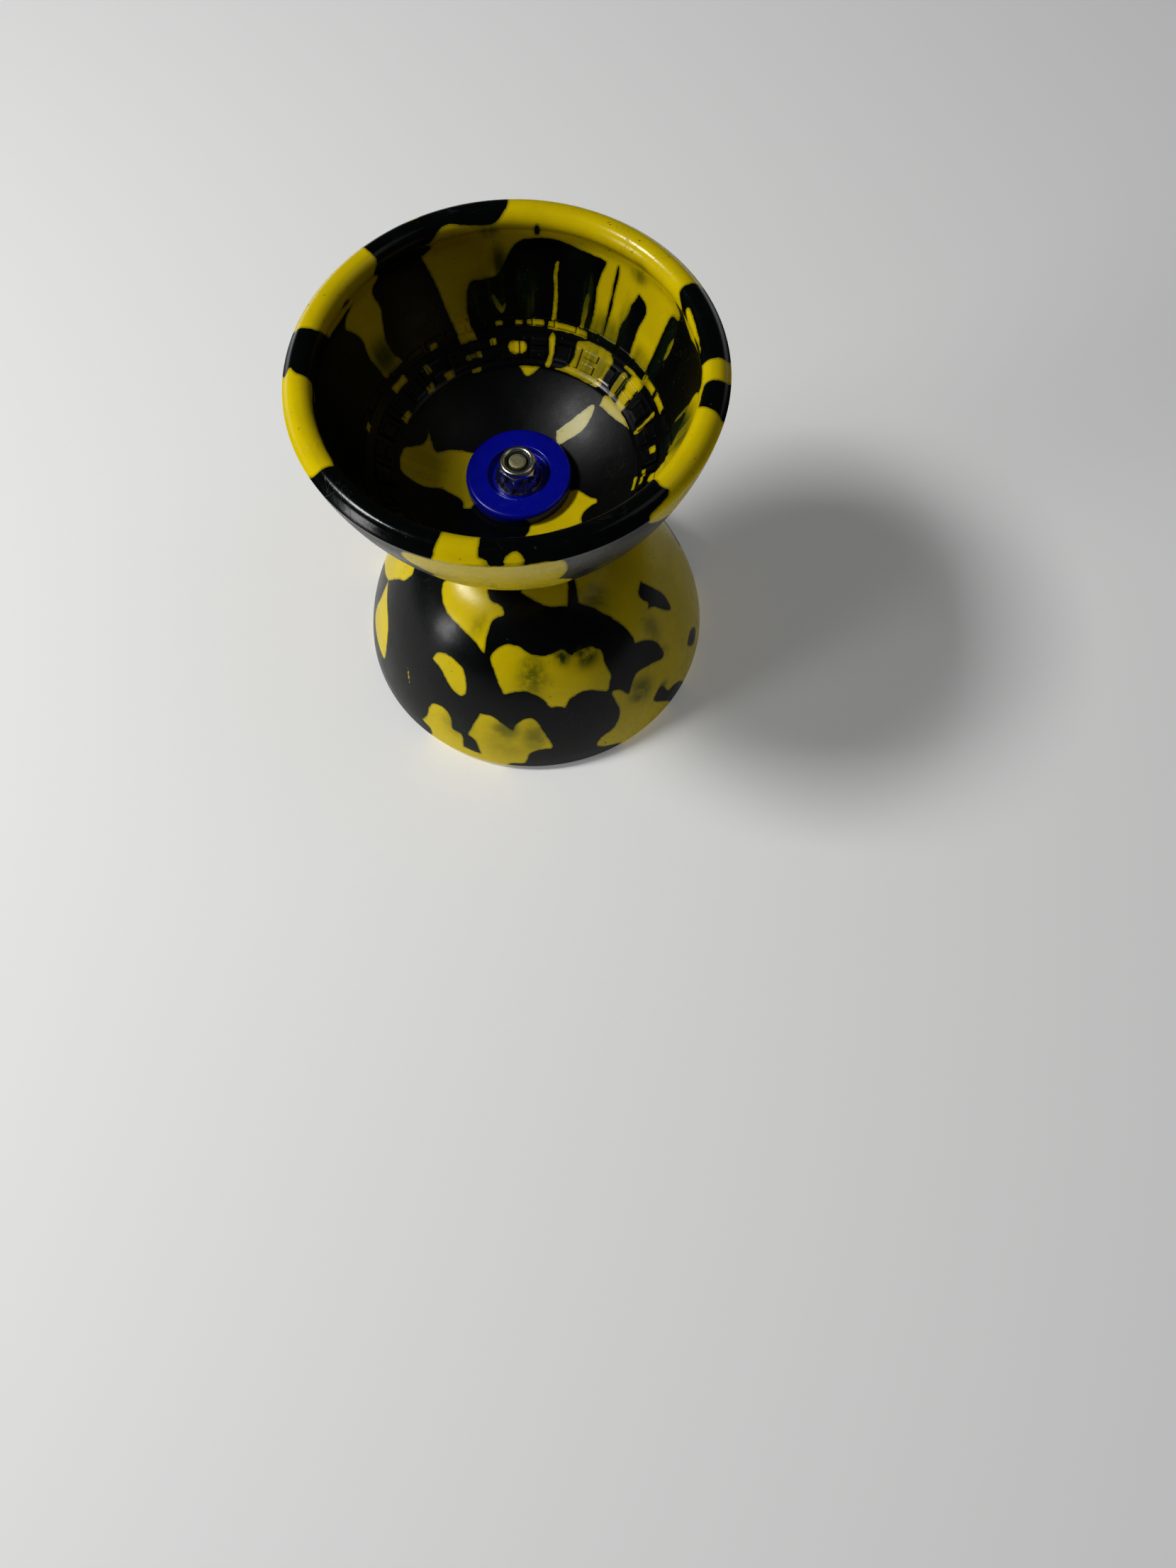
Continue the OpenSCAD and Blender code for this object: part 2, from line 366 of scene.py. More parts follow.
def scatter(seed, count, angles, alongs, sizes):
    """Seeded chips for the sides that have no drawn ones."""
    draw, chips = random.Random(seed), []
    for _ in range(count):
        at, size = (draw.uniform(*angles), draw.uniform(*alongs)), draw.uniform(*sizes)
        line, reach = (inside, 1) if at[1] > 0 else (outside, -1)
        local = np.interp(at[1] * reach, stations(line), line[:, 0])
        wide, ring = math.degrees(size / local), []
        for k in range(9):
            way, far = k / 9 * math.tau + draw.uniform(-0.25, 0.25), draw.uniform(0.6, 1.2)
            spot = (at[0] + wide * far * math.cos(way), at[1] + size * far * math.sin(way))
            ring.append(spot + (1,) if draw.random() < 0.3 else spot)
        chips.append(ring)
    return chips


# %% Draw the chips of the upper cup's rim and inside wall
upper_light = [
    [(20, -12), (30, -18), (45, -13), (52, -21), (66, -19), (76, -12), (87, -10), (88.5, -5),
     (87.5, 0), (90.5, 4), (94, 5.5), (101, 4.5), (106.5, 3.2), (109.5, 4), (114.3, 8.5),
     (112, 11, 1), (116, 13, 1), (113.8, 23), (113, 30), (112, 36), (111.5, 41.5, 1),
     (104, 41.5, 1), (105.5, 36), (104.5, 29), (102, 24.8), (98, 24.8), (93, 24), (90, 20),
     (86, 15), (80, 13), (72, 13), (65, 14.5), (56.5, 15, 1), (58.5, 23), (58, 29),
     (58.4, 36.5, 1), (46, 36.5, 1), (46.5, 31), (45, 27), (44.5, 23), (43, 19, 1),
     (39.5, 20.5), (38.5, 23.5), (39.5, 28), (39, 36.5, 1), (29, 36.5, 1), (29.3, 30),
     (29, 20), (28, 16.5), (25, 16), (25, 13.5), (28, 10.7, 1), (22, 8), (20, 5.5, 1),
     (24, 3), (24.5, 0), (23, -6)],
    [(-47, 0), (-46.5, -3), (-54, -4.6), (-54, -8), (-48, -14), (-40, -20), (-30, -17),
     (-22, -10), (-20, -5), (-19, -1), (-18, 3.3, 1), (-12, 3), (-10.5, 2.5), (-9.5, 0),
     (-9, -4), (-5, -10), (2, -18), (7, -24), (11, -21), (4, -12), (-1.5, -5), (-2, 0),
     (-3, 4, 1), (8, 3.6), (17, 3), (18.5, 4.5), (16, 6.5), (21, 9), (23, 11.5), (21, 13.7),
     (17, 15), (13, 14.5), (7, 15.5), (0, 18.5, 1), (1.8, 21), (1.5, 25), (-1, 29),
     (-5, 35), (-10, 39), (-14, 42.5), (-18.2, 44.8, 1), (-20, 41.5), (-24, 36.5),
     (-30, 31), (-37, 26), (-42, 18), (-44, 10)],
    [(-109.5, 0), (-110, -4), (-110, -6.5), (-104, -6), (-96.5, -5), (-97, -3.5),
     (-98.5, -3), (-98.5, 0), (-99, 5), (-104, 9), (-109, 6)],
    [(-92, -4.8), (-92, -3), (-89.5, -1.4, 1), (-88, -2.5), (-87.5, -4.8)],
    [(-118, -7), (-110, -6), (-97, -5.2), (-88, -5.2), (-79, -5.5), (-77, -9), (-77, -16),
     (-80, -24), (-90, -28), (-97, -24, 1), (-104, -27), (-113, -22), (-119, -14)],
    [(179, 0), (181, 4.8), (190, 4.3), (205, 3.5), (212, 2.5), (212, 0), (211, -4.5),
     (206, -9), (202, -15), (198, -24, 1), (188, -30), (178, -26), (172, -16, 1),
     (174, -9), (178, -4.5), (176.5, -2)],
    [(174, 12), (175.5, 14.6), (180, 15.5), (188, 18.5), (194, 22), (198, 25, 1),
     (202, 22), (206, 15.5), (211, 8.5), (205, 7.7), (195, 8), (185, 8.2), (179, 8.5),
     (175.5, 10)],
    [(131.5, -8), (131.5, 0), (131.3, 3.5), (134, 7), (131, 11, 1), (134.8, 14.5),
     (134.3, 20), (136, 24), (138, 29), (138, 33), (136, 36.5, 1), (146.5, 36.5, 1),
     (146.8, 31), (147.3, 28.5), (146, 23), (147, 20), (149.3, 16.5, 1), (147, 14),
     (143.5, 12.6), (150, 13.2), (157, 13, 1), (159, 9), (162, 5), (163.5, 0), (163, -8),
     (158, -16), (148, -13, 1), (140, -18), (133, -15)],
]

# %% Draw the chips of the bowl, the band and the fine flow lines
upper_light += [
    [(146.5, 54, 1), (153, 56.2), (160, 55.5), (164, 53), (168, 50.8), (178, 50.5),
     (182, 52), (186, 56), (187.5, 60), (187, 63), (190, 65.5), (196, 68), (202, 68.6),
     (208, 67.8, 1), (211, 71.5), (200, 73), (170, 73), (140, 73), (136.5, 71, 1),
     (143, 68.8), (150, 64.5), (157, 61.5), (159, 60.3), (155, 58)],
    [(-88.5, 66.3, 1), (-80, 66.3), (-70, 65.6), (-60, 64.7), (-52, 62.8), (-45, 61.3, 1),
     (-42, 63), (-37, 63.5), (-31, 63), (-27, 61.3, 1), (-24, 62), (-22, 65), (-17, 68),
     (-13, 71), (-20, 73), (-60, 73.5), (-79, 73, 1), (-81, 71.5), (-85, 68.5)],
    [(39.5, 55.3), (42, 54.6), (45, 58), (49, 62.5), (54, 66.8, 1), (50, 68.8), (46, 70),
     (43, 69.5), (40, 66.5), (37, 63), (37, 60)],
    [(15, 50.3, 1), (27, 50), (38.5, 50), (38.5, 53.6, 1), (31, 53.3), (22, 52)],
    [(76, 50.3, 1), (87.5, 50.3, 1), (83, 53.2)],
    [(72.3, 19, 1), (73.6, 20), (74, 24), (73.5, 30), (73.9, 36.5, 1), (72, 36.5, 1),
     (72, 30), (72.6, 24)],
    [(61, 24, 1), (62.2, 29), (62.3, 36.5, 1), (60.6, 36.5, 1), (60.3, 30)],
    [(91, 31, 1), (92.5, 33), (95, 29.5, 1), (96.3, 30), (94.3, 34), (92.5, 35), (91, 33)],
    [(23.4, 22), (24.4, 21), (25, 25), (24.2, 29), (23.2, 27)],
    [(0.4, 25, 1), (1.6, 25), (2.4, 31), (2.3, 36, 1), (1.2, 32)],
    [(26.4, 40), (33, 40), (33, 44), (31, 50), (25.8, 50), (26.8, 45)],
    [(45.3, 40.3), (61, 40.3), (61.5, 45), (64, 48.5), (70, 50.2, 1), (46, 50.2), (44.4, 46)],
    [(10.5, 49), (11, 44), (13, 40.8), (14.5, 41.5), (12.6, 45), (12.3, 49)],
    [(71.4, 49.6), (70.8, 43.5), (72.4, 40), (74, 42), (73.2, 46), (74.3, 49.6)],
    [(84, 43.6), (91, 43.6), (91, 46.6), (84, 46.6)],
    [(34.6, 42), (38, 42), (38, 48.6), (34.6, 48.6)],
]
for start, end, top, low in (
        (10.9, 18.8, 36.6, 39.4), (19.9, 28.4, 36.6, 39.4), (58.6, 75, 36.8, 39.3),
        (76.5, 83.5, 36.8, 39), (85, 88, 37.2, 39), (93, 96, 37, 38.8), (29, 38.6, 39.4, 40.6),
        (46, 58, 39.5, 40.5), (120.5, 124, 37.4, 39.4), (119, 124, 46.6, 49),
        (128, 130.5, 41.6, 44.4), (131, 135.5, 46.8, 49), (149, 155, 46.8, 49),
        (139, 147, 39.6, 42), (104, 112, 44.6, 46.4), (106, 111, 49, 50.2),
        (96.5, 99.5, 42, 44), (166, 169.5, 37.6, 39.6), (-21, -13, 49, 50.5),
        (-19, -11, 46, 47.4), (-4, -1, 42.8, 45)):
    upper_light.append([(start, top, 1), (end, top, 1), (end, low, 1), (start, low, 1)])
upper_dark = [
    [(-10.5, 4.6), (-2, 4.2), (7, 5), (9.3, 7.5), (4, 8.8), (-6, 8)],
    [(-14, 7.4, 1), (-8, 8.2), (-3.2, 11.5), (-2.2, 15), (-3, 19), (-5.5, 19.6),
     (-8.5, 15.5), (-12, 11)],
    [(3.5, 10, 1), (10, 10.3), (18.5, 10.7, 1), (13, 13), (8, 14.5), (6.3, 14.5)],
    [(78.2, 6), (79.3, 6.5), (80, 11), (79.2, 12), (78.3, 10)],
    [(144, 10.2), (146.5, 6.5), (149.5, 7), (147.5, 10)],
    [(52, 16), (52.6, 16), (52.8, 26), (52.4, 36), (51.9, 30)],
]
print("upper chips:", len(upper_light), "light,", len(upper_dark), "dark")

# %% Draw the chips of the lower cup's outside
lower_light = [
    [(-154, -63, 1), (-148, -60), (-140.5, -57.7), (-130.5, -56.5), (-120.5, -54.8),
     (-113, -51.5, 1), (-113.5, -57.5), (-112.5, -63), (-106, -65.3, 1), (-110, -67.8),
     (-118.5, -68.5), (-123, -70.3, 1), (-130, -75), (-150, -75)],
    [(-136, -40.5, 1), (-134.5, -44), (-128.5, -45.8), (-121.5, -44), (-118.7, -39.5),
     (-118, -35.5), (-120, -33.2), (-123.5, -34), (-127.3, -36.5), (-131, -39.2)],
    [(-110.2, -50.7, 1), (-108.3, -54), (-104, -56.2), (-98.3, -56.5), (-95, -55.4),
     (-90.5, -53.6), (-84, -52.7), (-76, -53.5), (-73.7, -52), (-72.2, -50.7, 1),
     (-70, -51.4), (-62.8, -51), (-60.5, -49.4), (-58.6, -47.5), (-59.4, -43),
     (-58.8, -38.4), (-59.5, -36.5), (-62.2, -32.7, 1), (-65.5, -34.3), (-68.3, -36),
     (-71.7, -36.8), (-76, -36), (-78.3, -34.3), (-79.4, -32.4, 1), (-82.2, -33.5),
     (-85, -33.8), (-87.2, -36.9), (-90.5, -39.2), (-93.9, -40.5), (-98.3, -40.2),
     (-102.8, -38.8, 1), (-105.5, -43), (-108.3, -47.8)],
    [(-97, -73, 1), (-88.3, -70.7), (-79.4, -68), (-68.3, -66.2), (-65, -65.5, 1),
     (-61, -68.5), (-55.5, -71.8), (-50, -76), (-75, -78), (-95, -77)],
    [(-57.8, -65, 1), (-52.8, -61.4), (-48.3, -56.7), (-45, -51.5), (-43.3, -45.2),
     (-43.9, -41.6, 1), (-40.5, -40.2), (-37.2, -37.4), (-35, -33.8), (-34.4, -28.5),
     (-36.7, -27.5), (-41.7, -30.1), (-48.3, -31.9), (-51.7, -30.1), (-55, -26.5, 1),
     (-57.2, -30.1), (-60, -31.7), (-61.4, -31.1, 1), (-60.6, -26.5), (-60.3, -21.3),
     (-63.9, -16), (-68.3, -14.5), (-71.1, -11.4), (-69, -8.8), (-63, -6), (-63, -3),
     (-70, -1), (-70, 6), (-60, 12, 1), (-45, 9), (-30, 14), (-12, 8, 1), (-2, 3),
     (12, -4), (20, -14), (16, -24), (24, -34), (18, -46), (22, -56), (10, -66),
     (-10, -72), (-30, -76), (-45, -74), (-53, -69)],
    [(-134.9, -10.8, 1), (-132.8, -15), (-132.2, -20.2), (-130.6, -23.3), (-127.2, -24.4),
     (-123.9, -23.3), (-122.2, -20.2), (-121.7, -16.5), (-118, -15.8), (-117.3, -9.5, 1),
     (-111.2, -8.8, 1), (-112.5, -14), (-114, -16), (-116, -17, 1), (-113.9, -23.3),
     (-111.7, -29, 1), (-107.2, -29.1), (-102.8, -26.5), (-99.4, -23.9, 1), (-97.8, -27.5),
     (-94.4, -29.8), (-91, -29), (-88.3, -23.3), (-86.3, -18.1), (-85.8, -15.2, 1),
     (-90.5, -14.8), (-93.9, -12.9), (-95, -9.5), (-96, -7, 1), (-101, -6.3), (-101, -3),
     (-95, -2.5), (-96, 3), (-105, 9), (-120, 6), (-132, 8), (-139, 2), (-137, -1.5),
     (-131, -5), (-131, -9)],
    [(-180, -36.5, 1), (-172, -34), (-165, -31), (-162, -27), (-160.5, -23.5),
     (-159.7, -20), (-160, -15.5), (-166, -14.8), (-172, -15.2), (-177, -17),
     (-178.5, -22), (-178, -28)],
    [(-171.5, -53.5), (-170.7, -51), (-171.5, -48), (-174, -45.5), (-177, -41.5),
     (-179.5, -37, 1), (-186, -32), (-193, -27), (-198, -18), (-200, -10), (-200, -4, 1),
     (-196, -3.4), (-185, -2), (-172, -2), (-166, -3, 1), (-172, -4.2), (-186, -4.6),
     (-199, -4.4, 1), (-207, -1), (-212, -8), (-206, -18), (-203, -30), (-196, -42),
     (-190, -50), (-180, -56)],
    [(-146.4, -29.5, 1), (-143.6, -25), (-141.8, -20, 1), (-144.2, -24)],
]
lower_dark = [
    [(-27.8, -49.9), (-26.7, -52), (-21.4, -53, 1), (-20, -48.3), (-18.3, -44.2),
     (-18, -40), (-19.4, -35.6), (-21.1, -36.3), (-23.9, -40.5), (-26.1, -44.2),
     (-28.9, -45.4, 1), (-26.5, -46.8)],
    [(-21.9, -15.5), (-20.6, -16.8), (-18.3, -17.2), (-15, -16), (-13.3, -12.2),
     (-16.1, -11), (-19.2, -11.8)],
    [(-46.3, -15), (-43.5, -17.4), (-41.5, -17.6), (-40.2, -15), (-39.2, -12), (-35, -10.8),
     (-31.5, -7), (-30.6, -3.5), (-33, -1.6), (-36.5, -2.6), (-38, 1), (-43, 1),
     (-40, -3.5), (-40.2, -7), (-43.3, -11)],
    [(-16, -2.5), (-12.5, -3.6), (-8, -2.4), (-11, -1.4), (-14.5, -1)],
]
print("lower chips:", len(lower_light), "light,", len(lower_dark), "dark")

# %% Scatter chips over the sides that stay out of sight
upper_light += scatter(11, 26, (-180, 180), (-68, -28), (6, 12))
upper_light += scatter(12, 7, (-135, -60), (18, 44), (4, 8))
upper_light += scatter(14, 5, (100, 165), (-16, -6), (4, 7))
upper_dark += scatter(13, 16, (-180, 180), (-64, -26), (2, 4.5))
lower_light += scatter(21, 14, (40, 150), (-66, -10), (7, 13))
lower_light += scatter(22, 22, (-180, 180), (4, 34), (5, 10))
lower_light += scatter(23, 7, (-180, 180), (52, 68), (4, 8))
lower_dark += scatter(24, 10, (45, 145), (-62, -8), (2, 4.5))
print("all chips:", len(upper_light + upper_dark), "upper,", len(lower_light + lower_dark), "lower")

# %% [markdown]
# ## Murk: where the two rubbers have bled, with painted shade and sheen
# Thin yellow over black looks green. It shows as soft dark-green clouds at the
# end of some chips. A soft cloud needs no outline, so each is an ellipse: angle,
# station, half width in degrees, half height in mm, strength. One weak cloud in
# the bowl is painted shade, dimming a chip that the left wall shades. A minus
# strength makes a pale cloud instead, a painted sheen on the bowl. A vertex keeps
# the strongest that reaches it. Two more attributes could be worked out in the
# material, but are simpler here: flow, a place drawn out down the inside wall, so
# that streaks run the way the rubber flowed, and polish, which is 1 on the rim's
# crown and -1 in the bowl.

# %% Store the distances and the clouds on a piece
upper_murk_and_sheen = [
    (94, 9, 3, 3, 0.9), (26, 27, 2.2, 11, 1), (-4, 31, 6, 7, 1), (42, 8, 3, 2.2, 0.6),
    (44.5, 14, 3, 2.2, 0.7), (52, 35, 9, 4.5, 0.8), (34, 35, 5, 3, 0.6),
    (142, 32, 5.5, 5, 0.9), (83, 28, 4, 8, 0.9),
    (97, 30, 7, 6, 1), (92, 21, 2.5, 5, 0.9), (46, 29, 2, 6, 0.8), (61.5, 28, 2, 8, 0.8),
    (67, 16, 4, 3, 0.4), (53, 45, 9, 5, 0.7), (36, 45, 3, 4, 0.6), (108, 45, 6, 4, 0.6),
    # The cloud at 172 degrees is painted shade on the bowl's left chip; the two minus clouds at 46
    # and 28 degrees are a painted sheen on the bowl.
    (120, 30, 4, 7, 0.3), (172, 58, 12, 7, 0.25), (46, 62, 14, 11, -0.8),
    (28, 52, 10, 3, -0.5),
]
lower_murk = [
    (-76.5, -51, 3.5, 3, 1), (-66, -49, 5.5, 4, 0.95), (-91, -46, 6, 7, 0.75),
    (-120, -20, 5, 5, 0.6), (-102, -24, 5, 4, 0.7), (-92, -21, 4, 6, 0.6),
    (-48, -63, 8, 5, 0.6), (-50, -24, 5, 5, 0.8), (-33, -40, 4, 5, 0.5),
    (-120, -60, 4, 4, 0.4), (-34, -28, 2.5, 2.5, 0.4), (-41, -17, 2.5, 1.6, 0.7),
    (-102, -18, 8, 7, 0.3), (60, -40, 12, 8, 0.5), (110, -25, 9, 7, 0.5),
]
FLOW_R, DRAWN_OUT = 45, 0.1
POLISH_REACH, BOWL_FROM = 6.5, 51


def store_marbling(piece, upper):
    """Writes marble, murk, flow and polish, from which the rubber takes its looks."""
    place = read_place(piece, upper)
    field = np.full(len(place[0]), -EDGE_REACH)
    for chip in upper_light if upper else lower_light:
        press_chip(field, place, chip)
    for chip in upper_dark if upper else lower_dark:
        press_chip(field, place, chip, light=False)
    murk_and_sheen = np.zeros(len(field))
    for angle, along, wide, high, strength in upper_murk_and_sheen if upper else lower_murk:
        turned = (place[0] - angle + 180) % 360 - 180
        far = (turned / wide) ** 2 + ((place[1] - along) / high) ** 2
        cloud_here = strength * np.exp(-0.7 * far ** 1.5)
        murk_and_sheen = np.where(np.abs(cloud_here) > np.abs(murk_and_sheen), cloud_here, murk_and_sheen)
    layer = piece.data.attributes.new("flow", "FLOAT_VECTOR", "POINT")
    around = np.radians(place[0])
    drawn_out = place[1] * np.where(place[1] > 0, DRAWN_OUT, 1)
    flow = np.stack([FLOW_R * np.cos(around), FLOW_R * np.sin(around), drawn_out], 1) * MM
    layer.data.foreach_set("vector", flow.astype(np.float32).ravel())
    polish = np.exp(-(place[1] / POLISH_REACH) ** 4) - 1.0 * (place[1] > BOWL_FROM)
    for name, values in (("marble", field), ("murk_and_sheen", murk_and_sheen), ("polish", polish)):
        layer = piece.data.attributes.new(name, "FLOAT", "POINT")
        layer.data.foreach_set("value", values.astype(np.float32))
    print(piece.name, "yellow share:", round(float((field > 0).mean()), 2))


store_marbling(upper_shell, True)
store_marbling(lower_shell, False)

# %% [markdown]
# ## The rubber
# The material starts from the stored distance. A little noise is added to it so
# that an edge wavers by a fraction of a millimetre, then a narrow ramp turns it
# into black or yellow. Where the murk is strong, streaks and flecks of one show
# through the other. Handling leaves a satin skin with hairline scratches, nicks,
# specks of dust and duller patches, so gloss and relief vary too. A plain noise
# bump alone would look like plastic.


# %% Define helpers for materials
def node(tree, kind, inputs, **settings):
    """Adds a shader node, sets its options and links or fills its inputs."""
    made = tree.nodes.new("ShaderNode" + kind)
    for key, value in settings.items():
        setattr(made, key, value)
    for socket, value in inputs.items():
        if isinstance(value, bpy.types.NodeSocket):
            tree.links.new(value, made.inputs[socket])
        else:
            made.inputs[socket].default_value = value
    return made


def start_finish(name, roughness=0.4, metallic=0.0):
    """A new material, its tree, its shader and its Object coordinates."""
    finish = bpy.data.materials.new(name)
    finish.use_nodes = True
    tree = finish.node_tree
    shader = tree.nodes["Principled BSDF"]
    shader.inputs["Roughness"].default_value = roughness
    shader.inputs["Metallic"].default_value = metallic
    return finish, tree, shader, tree.nodes.new("ShaderNodeTexCoord").outputs["Object"]


def grain(tree, place, scale, detail=3, rough=0.6, stretch=(1, 1, 1), turn_by=(0, 0, 0)):
    """Noise between 0 and 1; scale is in repeats a metre."""
    bent = node(tree, "Mapping", {0: place, "Scale": stretch, "Rotation": turn_by})
    made = node(tree, "TexNoise", {"Vector": bent.outputs[0], "Scale": scale,
                                   "Detail": detail, "Roughness": rough})
    return made.outputs["Fac"]


def sums(tree, how, first, second):
    """One step of arithmetic."""
    return node(tree, "Math", {0: first, 1: second}, operation=how).outputs[0]


def ramp(tree, value, low, high, start=0.0, end=1.0):
    """Maps low to start and high to end, and holds outside them."""
    return node(tree, "MapRange", {0: value, 1: low, 2: high, 3: start, 4: end}).outputs[0]


def blend(tree, share, first, second):
    """Mixes two colours; a share of 1 gives the second."""
    made = node(tree, "Mix", {0: share, 6: first, 7: second}, data_type="RGBA")
    return made.outputs[2]


def times(tree, first, second):
    return sums(tree, "MULTIPLY", first, second)


def dress(tree, shader, colour, gloss, relief, strength, depth):
    """Gives a shader its colour, its gloss and a relief of a depth in metres."""
    bump = node(tree, "Bump", {"Height": relief, "Strength": strength, "Distance": depth})
    for socket, value in (("Base Color", colour), ("Roughness", gloss),
                          ("Normal", bump.outputs[0])):
        tree.links.new(value, shader.inputs[socket])
    print("nodes in the finish:", len(tree.nodes))


def hairlines(tree, place, scale, stretch, turn_by, thin):
    """Scratches: the thin line where a stretched noise crosses its middle value."""
    lines = grain(tree, place, scale, 2, 0.5, stretch, turn_by)
    off = sums(tree, "ABSOLUTE", sums(tree, "SUBTRACT", lines, 0.5), 0)
    return ramp(tree, off, 0, thin, 1, 0)


# %% Find the edges, streaks and flecks of the rubber
rubber, tree, shader, place = start_finish("marbled_rubber")
shader.inputs["Specular IOR Level"].default_value = 0.28
marble = node(tree, "Attribute", {}, attribute_name="marble").outputs["Fac"]
murk_and_sheen = node(tree, "Attribute", {}, attribute_name="murk_and_sheen").outputs["Fac"]
waver = ramp(tree, grain(tree, place, 420, 4), 0, 1, -0.45, 0.45)
edge = sums(tree, "ADD", marble, waver)
flow = node(tree, "Attribute", {}, attribute_name="flow").outputs["Vector"]
streaks = ramp(tree, grain(tree, flow, 420, 4, 0.6), 0.54, 0.66)
flecks = ramp(tree, grain(tree, place, 900, 3, 0.7), 0.60, 0.68)
flecks = sums(tree, "MAXIMUM", times(tree, streaks, 0.7), flecks)
fleck_share = times(tree, flecks, ramp(tree, murk_and_sheen, 0.35, 0.9))
yellow_share = ramp(tree, edge, -0.06, 0.08)
yellow_share = sums(tree, "MAXIMUM", yellow_share, times(tree, fleck_share, 0.5))
print("nodes for the edges:", len(tree.nodes))

# %% Mix the rubber's yellow and black
cloud = ramp(tree, grain(tree, place, 60, 4), 0.3, 0.7)
yellow = blend(tree, cloud, (0.66, 0.51, 0.001, 1), (0.80, 0.62, 0.002, 1))
yellow = blend(tree, ramp(tree, edge, 0.1, 0.8), (0.34, 0.28, 0.002, 1), yellow)
# Below zero the murk turns the yellow pale cream: a painted sheen on the bowl.
yellow = blend(tree, ramp(tree, murk_and_sheen, -1, 0, 1, 0), yellow, (0.72, 0.70, 0.40, 1))
bled = ramp(tree, grain(tree, flow, 260, 4), 0.2, 0.56)
# Above zero the murk turns the yellow dark green: bled rubber, and painted shade for the weak cloud
# at 172 degrees in the bowl.
green_share = times(tree, ramp(tree, murk_and_sheen, 0, 1), bled)
yellow = blend(tree, green_share, yellow, (0.030, 0.060, 0.006, 1))
black = blend(tree, cloud, (0.0012, 0.0018, 0.0016, 1), (0.0030, 0.0040, 0.0038, 1))
black = blend(tree, times(tree, murk_and_sheen, 0.6), black, (0.008, 0.022, 0.008, 1))
nicks = ramp(tree, grain(tree, place, 620, 2, 0.5, (1, 2.5, 1), (0.3, 0.5, 0.2)), 0.70, 0.74)
nicks = times(tree, nicks, ramp(tree, grain(tree, place, 48, 2), 0.5, 0.58))
yellow = blend(tree, times(tree, nicks, 0.85), yellow, (0.012, 0.011, 0.003, 1))
colour = blend(tree, yellow_share, black, yellow)
print("nodes with the colours:", len(tree.nodes))

# %% Add scratches and dust
long_lines = hairlines(tree, place, 30, (1, 6, 1.5), (0.4, 0.3, 0.7), 0.0035)
cross_lines = hairlines(tree, place, 34, (5, 1, 1.2), (0.2, 0.9, 0.1), 0.003)
worn = ramp(tree, grain(tree, place, 22, 3), 0.5, 0.68)
lines = times(tree, sums(tree, "MAXIMUM", long_lines, cross_lines), worn)
dust_cells = node(tree, "TexVoronoi", {"Vector": place, "Scale": 260.0})
dust = ramp(tree, dust_cells.outputs["Distance"], 0.05, 0.09, 1, 0)
rare = ramp(tree, grain(tree, place, 130, 2), 0.60, 0.62)
dust = times(tree, dust, rare)
colour = blend(tree, times(tree, lines, 0.35), colour, (0.10, 0.10, 0.085, 1))
colour = blend(tree, times(tree, dust, 0.5), colour, (0.09, 0.08, 0.06, 1))
print("nodes with the wear:", len(tree.nodes))

# %% Set the rubber's gloss and relief
gloss = ramp(tree, grain(tree, place, 90, 5, 0.65), 0.3, 0.7, 0.20, 0.34)
gloss = sums(tree, "ADD", gloss, times(tree, lines, 0.25))
polish = node(tree, "Attribute", {}, attribute_name="polish").outputs["Fac"]
gloss = sums(tree, "ADD", gloss, ramp(tree, polish, -1, 1, 0.13, -0.10))
skin = times(tree, grain(tree, place, 1500, 3), 0.35)
skin = sums(tree, "ADD", skin, times(tree, grain(tree, place, 160, 2), 1.2))
skin = sums(tree, "SUBTRACT", skin, times(tree, lines, 0.5))
skin = sums(tree, "SUBTRACT", skin, times(tree, dust, 0.8))
skin = sums(tree, "SUBTRACT", skin, nicks)
dress(tree, shader, colour, gloss, skin, 0.35, 0.00012)
for shell, cad in ((upper_shell, "upper_cup"), (lower_shell, "lower_cup")):
    shell.data.materials.append(rubber)
    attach(shell, "root")
    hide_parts(cad)

# %% [markdown]
# ## The moulded band
# Between the two ribs the mould leaves a band of raised shapes, with a ring of
# short dashes above it. Plain frames, bars and pads stand for them here. They
# could be cut into the shell, which would need a very dense mesh. It is easier
# to spin a strip of the wall's own section through a few degrees and extrude it
# towards the axle, so that every pad follows the cone. One group is modelled,
# then copied round. Each pad's foot is sunk a little into the wall.


# %% Define a raised pad
FOOT = 0.3


def moulded_pad(name, low, high, start, sweep, rise, border=0.0):
    """A pad of the inside wall between two stations, raised, with an optional frame."""
    foot = inside + FOOT * sideways(inside)
    places = np.linspace(low, high, max(5, int((high - low) / 0.6)))
    points = np.stack([np.interp(places, stations(inside), foot[:, k]) for k in (0, 1)], 1)
    piece = start_line(name, points[0])
    draw_line(points)
    bpy.ops.mesh.select_all(action="SELECT")
    bpy.ops.mesh.spin(steps=max(3, round(sweep / 0.9)), angle=-math.radians(sweep),
                      center=(0, 0, 0), axis=(0, 0, 1))
    face_outwards()
    piece.update_from_editmode()
    if piece.data.polygons[0].normal.x > 0:
        bpy.ops.mesh.flip_normals()
    bpy.ops.mesh.extrude_region_shrink_fatten(
        TRANSFORM_OT_shrink_fatten={"value": (rise + FOOT) * MM})
    if border:
        bpy.ops.mesh.inset(thickness=border * MM, depth=-0.8 * rise * MM)
    face_outwards()
    bpy.ops.transform.rotate(value=-math.radians(start), orient_axis="Z",
                             orient_type="GLOBAL", center_override=(0, 0, 0))
    bpy.ops.object.mode_set(mode="OBJECT")
    return piece


